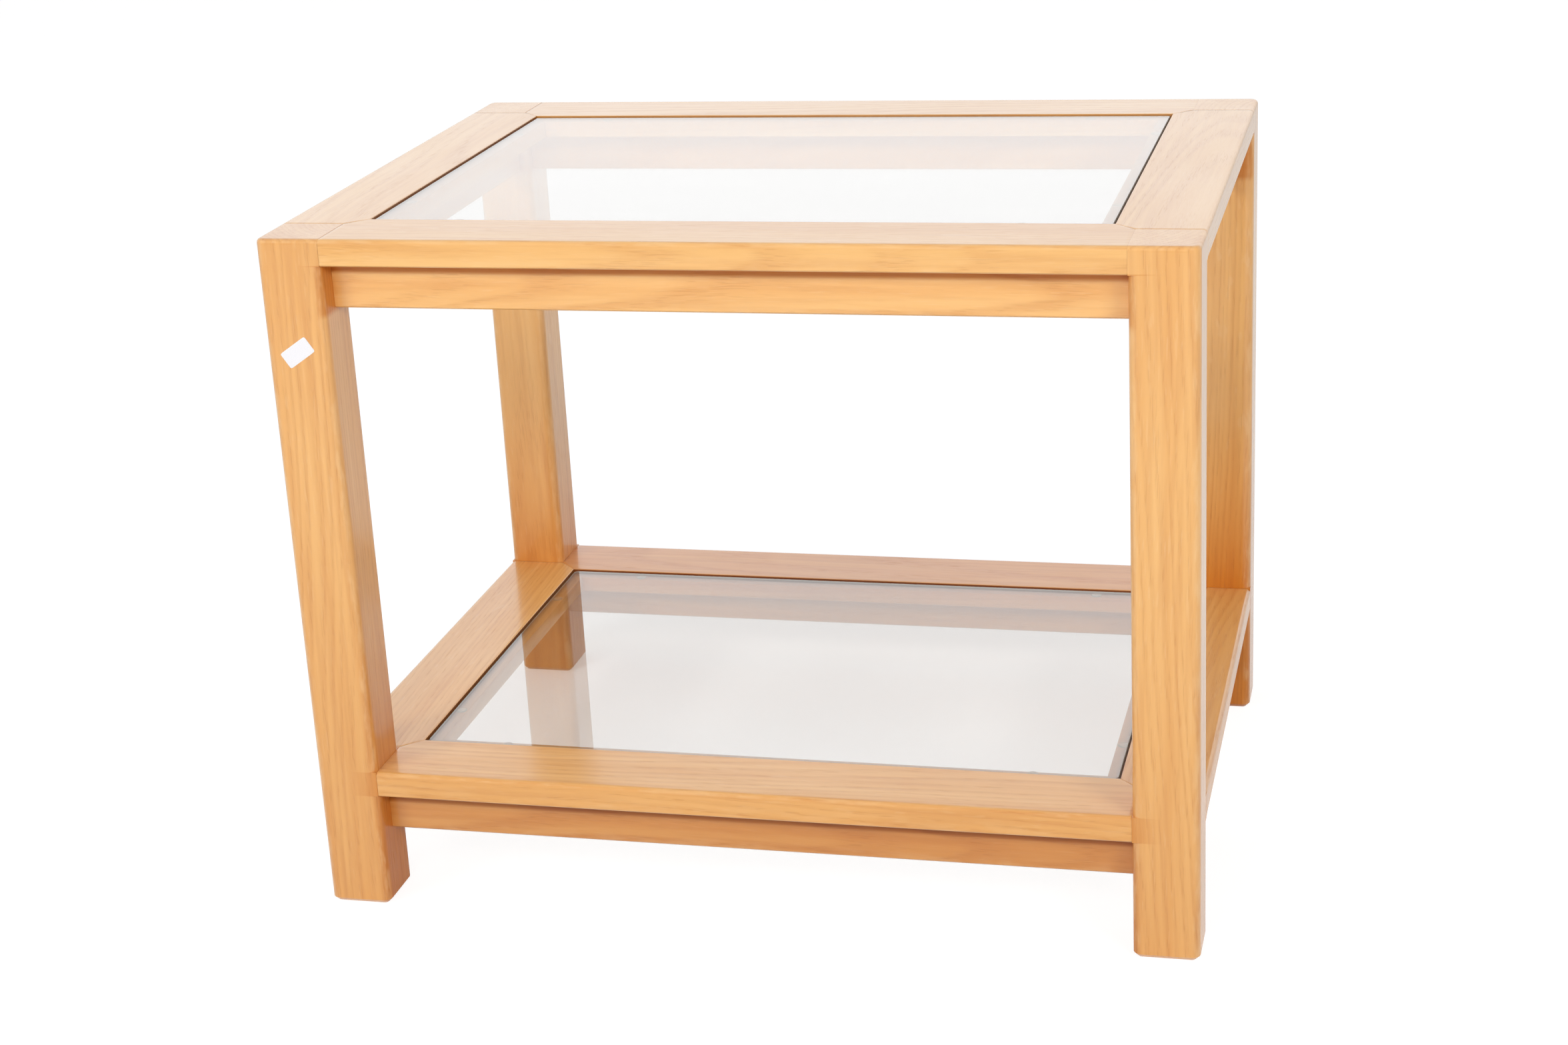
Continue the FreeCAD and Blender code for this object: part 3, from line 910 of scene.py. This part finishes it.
class DISPLAY_TABLE_OT_make_boards(bpy.types.Operator):
    """Makes the eight boards that frame the two panes"""

    bl_idname = "display_table.make_boards"
    bl_label = "Make Boards"

    def execute(self, context):
        settings = context.scene.display_table
        sizes = settings.joinery
        for tier in ("top", "shelf"):
            low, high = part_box(f"{tier}_board_front")
            upper, lower, near, lip = board_section(sizes, high.z, low.z)
            middle = (0.0, lip / 2, (low.z + high.z) / 2)
            wall = lip - sizes.ledge
            hair, wall_foot, skin = 1e-5, 0.0011, 0.001
            for side in SIDE_TURNS:
                half_length, out = side_reach(side)

                def mitred(y, shoulder=half_length - LEG_SIZE):
                    return shoulder - np.clip(y - LEG_SIZE, 0, None)

                surface, nearness, seam = bar_surface(upper, lower, mitred, sizes.fine_edge / 2, near)
                across, height = surface[..., 1], surface[..., 2]
                # Painted shade on the recess under the pane, darker on its wall, and on the shelf boards'
                # outer faces.
                under_pane = (across > wall - hair) & (height > low.z + sizes.recess)
                wall_shade = LIT_RECESS_SHADE if (tier, side) == ("top", "back") else RECESS_SHADE
                seam = np.where(under_pane & (across < wall + wall_foot), wall_shade, seam)
                outer_face = (across < skin) * (SHADE_SHELF_EDGE if tier == "shelf" else 0.0)
                put_rail(
                    settings, "board", tier, side, BOARD_TIMBER[f"{tier}_{side}"], middle, -out,
                    surface, nearness, seam, under_pane * SHADE_UNDER_PANE + outer_face,
                )
        return {"FINISHED"}


class DISPLAY_TABLE_OT_make_aprons(bpy.types.Operator):
    """Makes the eight aprons set back under the boards"""

    bl_idname = "display_table.make_aprons"
    bl_label = "Make Aprons"

    def execute(self, context):
        settings = context.scene.display_table
        sizes = settings.joinery
        for tier in ("top", "shelf"):
            low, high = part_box(f"{tier}_apron_front")
            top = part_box(f"{tier}_board_front")[0].z
            thickness, setback = high.y - low.y, low.y + HALF_DEPTH
            shaded = GAP_SHADOW[tier]
            upper, lower, near = apron_section(sizes, thickness, top, low.z, shaded)
            middle = (0.0, thickness / 2, (low.z + top) / 2)
            for side in SIDE_TURNS:
                half_length, out = side_reach(side)

                def square(y, shoulder=half_length - LEG_SIZE):
                    return np.full(y.shape, shoulder)

                surface, nearness, seam = bar_surface(upper, lower, square, sizes.fine_edge / 2, near)
                # Painted shadow of the board across the apron's top, half as deep on the sides and the back.
                sheltered = np.clip((surface[..., 2] - (top - shaded[1])) / (shaded[1] - shaded[0]), 0, 1)
                sheltered = sheltered * (1.0 if side == "front" else 0.5)
                # The shelf's aprons also get painted shade all over, and their painted shadow band is darker
                # still.
                if tier == "shelf":
                    least_seam, seam_rise = 0.85, 0.65
                    seam = np.maximum(seam, least_seam + sheltered * seam_rise)
                    sheltered = sheltered + SHADE_SHELF_APRON
                put_rail(
                    settings, "apron", tier, side, APRON_TIMBER[f"{tier}_{side}"], middle, setback - out,
                    surface, nearness, seam, sheltered,
                )
        return {"FINISHED"}


class DISPLAY_TABLE_OT_make_panes(bpy.types.Operator):
    """Makes the two glass panes"""

    bl_idname = "display_table.make_panes"
    bl_label = "Make Panes"

    def execute(self, context):
        settings = context.scene.display_table
        for tier in ("top", "shelf"):
            low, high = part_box(f"{tier}_glass")
            high = high - Vector((0, 0, settings.pane.set_down))
            points, edge_faces = pane_surface(low, high, settings.pane.arris, settings.pane.nipped_corner)
            rows, columns = points.shape[:2]
            put_piece(
                f"clear_{tier}_pane", points, tube_faces(rows, columns) + cap_faces(rows, columns),
                finish_named("float_glass", settings), [f"{tier}_glass"], "clear_glass", f"{tier}_pane",
                trim=(finish_named("ground_edge", settings), edge_faces),
            )
        return {"FINISHED"}


class DISPLAY_TABLE_OT_make_pads(bpy.types.Operator):
    """Makes the clear pads that the panes rest on"""

    bl_idname = "display_table.make_pads"
    bl_label = "Make Pads"

    def execute(self, context):
        settings = context.scene.display_table
        just_past_pad, above_ledge, below_glass = 0.0081, 0.00004, 0.00006
        for tier in ("top", "shelf"):
            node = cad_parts[f"{tier}_glass_pads"]
            low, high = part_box(f"{tier}_glass_pads")
            corners = np.zeros(len(node.data.vertices) * 3)
            node.data.vertices.foreach_get("co", corners)
            corners = corners.reshape(-1, 3)
            on_front = corners[corners[:, 1] < low.y + just_past_pad]
            radius = (on_front[:, 1].max() - low.y) / 2
            right_pad = on_front[on_front[:, 0] > 0]
            along_x = (right_pad[:, 0].min() + right_pad[:, 0].max()) / 2
            on_left = corners[corners[:, 0] < low.x + just_past_pad]
            back_pad = on_left[on_left[:, 1] > 0]
            along_y = (back_pad[:, 1].min() + back_pad[:, 1].max()) / 2
            front, left = low.y + radius, low.x + radius
            signs = np.array([(-1, -1), (1, -1), (1, 1), (-1, 1)])
            centres = np.concatenate([signs * [along_x, -front], signs * [-left, along_y]])
            points, faces = disc_surface(centres, radius, low.z + above_ledge, high.z - below_glass)
            put_piece(
                f"clear_{tier}_bumpers", points, faces, finish_named("clear_bumper", settings),
                [f"{tier}_glass_pads"], "clear_pad", FRAME_BODY, smooth_angle=50,
            )
        return {"FINISHED"}


class DISPLAY_TABLE_OT_finish_tongues(bpy.types.Operator):
    """Gives the hidden loose tongues their beech"""

    bl_idname = "display_table.finish_tongues"
    bl_label = "Finish Loose Tongues"

    def execute(self, context):
        beech = finish_named("glued_beech", context.scene.display_table)
        for tier in ("top", "shelf"):
            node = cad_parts[f"{tier}_board_splines"]
            if not node.material_slots:
                raise RuntimeError(f"{node.name} has no material slot")
            for held in node.material_slots:
                held.material = beech
        return {"FINISHED"}


class DISPLAY_TABLE_OT_make_label(bpy.types.Operator):
    """Makes the blank paper label on the front left leg"""

    bl_idname = "display_table.make_label"
    bl_label = "Make Label"

    def execute(self, context):
        settings = context.scene.display_table
        label = settings.label
        low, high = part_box("leg_front_left")
        # A rounded rectangle |x/a|^n + |y/b|^n = 1 carried over the paper's thickness,
        # with one end curling a hair off the wood.
        steps, squareness, paper = 64, 14, 0.00012
        off_wood, curl_height, curl_from = 0.00002, 0.00018, 0.4
        angle = np.linspace(0, 2 * math.pi, steps, endpoint=False)
        power = 2 / squareness
        u = np.sign(np.cos(angle)) * np.abs(np.cos(angle)) ** power * label.length / 2
        v = np.sign(np.sin(angle)) * np.abs(np.sin(angle)) ** power * label.height / 2
        spans = np.array([0.5, 1.0, 1.0, 0.5])
        lifts = np.array([0.0, 0.0, paper, paper])
        flat_u, flat_v = spans[:, None] * u, spans[:, None] * v
        curl = curl_height * np.clip(flat_u / label.length * 2 - curl_from, 0, None) ** 2
        cosine, sine = math.cos(label.tilt), math.sin(label.tilt)
        x = (low.x + high.x) / 2 + cosine * flat_u - sine * flat_v
        z = label.centre_height + sine * flat_u + cosine * flat_v
        y = low.y - off_wood - curl - lifts[:, None]
        points = np.stack([x, y, z], axis=-1)
        rows, columns = points.shape[:2]
        put_piece(
            "blank_paper_label", points, tube_faces(rows, columns) + cap_faces(rows, columns),
            finish_named("label_paper", settings), [], None, FRAME_BODY,
        )
        return {"FINISHED"}


class DISPLAY_TABLE_OT_set_stage(bpy.types.Operator):
    """Lays the white floor, the camera and the soft light"""

    bl_idname = "display_table.set_stage"
    bl_label = "Set Stage"

    def lay_floor(self, scene):
        """White floor. Paint and glow together come to white where nothing keeps the light
        off, and each kind of ray has its own share of both."""
        half_floor, lines = 14, 5
        step = np.linspace(-half_floor, half_floor, lines)
        x, y = np.meshgrid(step, step, indexing="ij")
        points = np.stack([x, y, np.zeros(x.shape)], axis=-1).reshape(-1, 3)
        row, column = np.meshgrid(np.arange(lines - 1), np.arange(lines - 1), indexing="ij")
        first = (row * lines + column).reshape(-1)
        quads = np.stack([first, first + lines, first + lines + 1, first + 1], axis=-1)
        floor = bpy.data.meshes.new("studio_floor")
        floor.from_pydata(points.tolist(), [], quads.tolist())
        material = bpy.data.materials.new("studio_white")
        w = emptied(material)
        camera, glossy, through = w.rays()
        lighting_paint, seen_paint, mirrored_paint = (0.64,) * 3, (0.25,) * 3, (0.97,) * 3
        seen_glow, mirrored_glow, through_glow = 0.88, 0.22, 0.13
        shade = w.mix(camera, lighting_paint, seen_paint)
        shade = w.mix(w.math("MAXIMUM", glossy, through), shade, mirrored_paint)
        strength = w.plus(w.times(camera, seen_glow), w.times(glossy, mirrored_glow))
        strength = w.plus(strength, w.times(through, through_glow))
        paint = w.add("ShaderNodeBsdfDiffuse", Color=shade).outputs[0]
        glow = w.add("ShaderNodeEmission", Color=WHITE, Strength=strength).outputs[0]
        surface = w.add("ShaderNodeOutputMaterial").inputs["Surface"]
        w.blend_shaders("ShaderNodeAddShader", surface, paint, glow)
        floor.materials.append(material)
        ground = bpy.data.objects.new("studio_floor", floor)
        scene.collection.objects.link(ground)

    def light_room(self, scene, studio):
        """Even light that changes from the walls up to the ceiling. Rays from the camera, and
        those that gloss or glass sends on, see plain white instead."""
        room = bpy.data.worlds.new("studio_room")
        w = emptied(room)
        camera, glossy, through = w.rays()
        seen = w.math("MAXIMUM", w.math("MAXIMUM", camera, glossy), through)
        direction = w.add("ShaderNodeTexCoord").outputs["Generated"]
        height = w.add("ShaderNodeSeparateXYZ", Vector=direction).outputs["Z"]
        wall_top, ceiling = 0.05, 0.85
        strength = w.remap(height, wall_top, ceiling, studio.sky_light, studio.ceiling_light)
        lit = w.add("ShaderNodeBackground", Color=(1.0, 0.995, 0.985), Strength=strength).outputs[0]
        white = w.add("ShaderNodeBackground", Color=WHITE, Strength=1.0).outputs[0]
        surface = w.add("ShaderNodeOutputWorld").inputs["Surface"]
        w.blend_shaders("ShaderNodeMixShader", surface, seen, lit, white)
        scene.world = room

    def soft_box(self, scene, name, place, aim, size, power, mirrored=False):
        """A rectangular lamp; one that isn't mirrored leaves no white patch in gloss."""
        lamp = bpy.data.lights.new(name, "AREA")
        lamp.shape, lamp.energy = "RECTANGLE", power
        lamp.size, lamp.size_y = size
        lamp.color = (1.0, 0.99, 0.975)
        holder = bpy.data.objects.new(name, lamp)
        holder.location = place
        holder.rotation_euler = (Vector(aim) - Vector(place)).to_track_quat("-Z", "Y").to_euler()
        holder.visible_glossy = holder.visible_transmission = mirrored
        scene.collection.objects.link(holder)

    def set_camera(self, scene, studio):
        """Camera facing the back, then rolled, tilted and turned."""
        lens = bpy.data.cameras.new("table_camera")
        lens.sensor_width = 36.0
        lens.lens = studio.lens
        lens.clip_start, lens.clip_end = 0.05, 60.0
        camera = bpy.data.objects.new("table_camera", lens)
        look = Matrix.Rotation(studio.camera_turn, 3, "Z") @ Matrix.Rotation(studio.camera_tilt, 3, "X")
        look = look @ Matrix.Rotation(studio.camera_roll, 3, "Y") @ Matrix.Rotation(math.pi / 2, 3, "X")
        camera.matrix_world = Matrix.Translation(studio.camera_place) @ look.to_4x4()
        scene.collection.objects.link(camera)
        scene.camera = camera

    def execute(self, context):
        scene = context.scene
        studio = scene.display_table.studio
        self.lay_floor(scene)
        self.light_room(scene, studio)
        under_top, front_box = (0, 0, 0.3), (0.8, 0.35)
        self.soft_box(scene, "front_soft_box", (-1.7, -2.1, 1.5), under_top, front_box, studio.key_light)
        self.soft_box(scene, "high_soft_box", (0.1, -2.5, 1.5), under_top, front_box, studio.top_light)
        self.soft_box(scene, "side_soft_box", (1.9, -2.0, 1.5), under_top, front_box, studio.side_light)
        back_place, back_aim, back_box = (-0.8, 3.2, 1.32), (-0.8, 0, 0.9), (4.0, 0.95)
        self.soft_box(
            scene, "back_soft_box", back_place, back_aim, back_box, studio.back_light, mirrored=True
        )
        self.set_camera(scene, studio)
        scene.view_settings.view_transform = "Standard"
        return {"FINISHED"}


MAKING_ORDER = [
    "set_stage",
    "make_legs",
    "make_boards",
    "make_aprons",
    "make_panes",
    "make_pads",
    "finish_tongues",
    "make_label",
]


class DISPLAY_TABLE_PT_sidebar(bpy.types.Panel):
    """Panel with the table's settings and makers"""

    bl_idname = "DISPLAY_TABLE_PT_sidebar"
    bl_label = "Oak Display Table"
    bl_space_type = "VIEW_3D"
    bl_region_type = "UI"
    bl_category = "Display Table"

    def draw(self, context):
        settings = context.scene.display_table
        for part in ("joinery", "oak", "pane", "label", "studio"):
            group = getattr(settings, part)
            box = self.layout.box()
            box.label(text=part.capitalize())
            for key in group.__annotations__:
                box.prop(group, key)
        for name in MAKING_ORDER:
            self.layout.operator(f"display_table.{name}")


CLASSES = (
    JoinerySizes,
    OakFinish,
    PaneFinish,
    LabelSizes,
    StudioSettings,
    DisplayTableSettings,
    DISPLAY_TABLE_OT_make_legs,
    DISPLAY_TABLE_OT_make_boards,
    DISPLAY_TABLE_OT_make_aprons,
    DISPLAY_TABLE_OT_make_panes,
    DISPLAY_TABLE_OT_make_pads,
    DISPLAY_TABLE_OT_finish_tongues,
    DISPLAY_TABLE_OT_make_label,
    DISPLAY_TABLE_OT_set_stage,
    DISPLAY_TABLE_PT_sidebar,
)


def register():
    for one in CLASSES:
        bpy.utils.register_class(one)
    bpy.types.Scene.display_table = PointerProperty(type=DisplayTableSettings)


def unregister():
    del bpy.types.Scene.display_table
    for one in reversed(CLASSES):
        bpy.utils.unregister_class(one)


def main():
    """Makes everything in order."""
    register()
    for name in MAKING_ORDER:
        getattr(bpy.ops.display_table, name)()


if __name__ == "__main__":
    main()
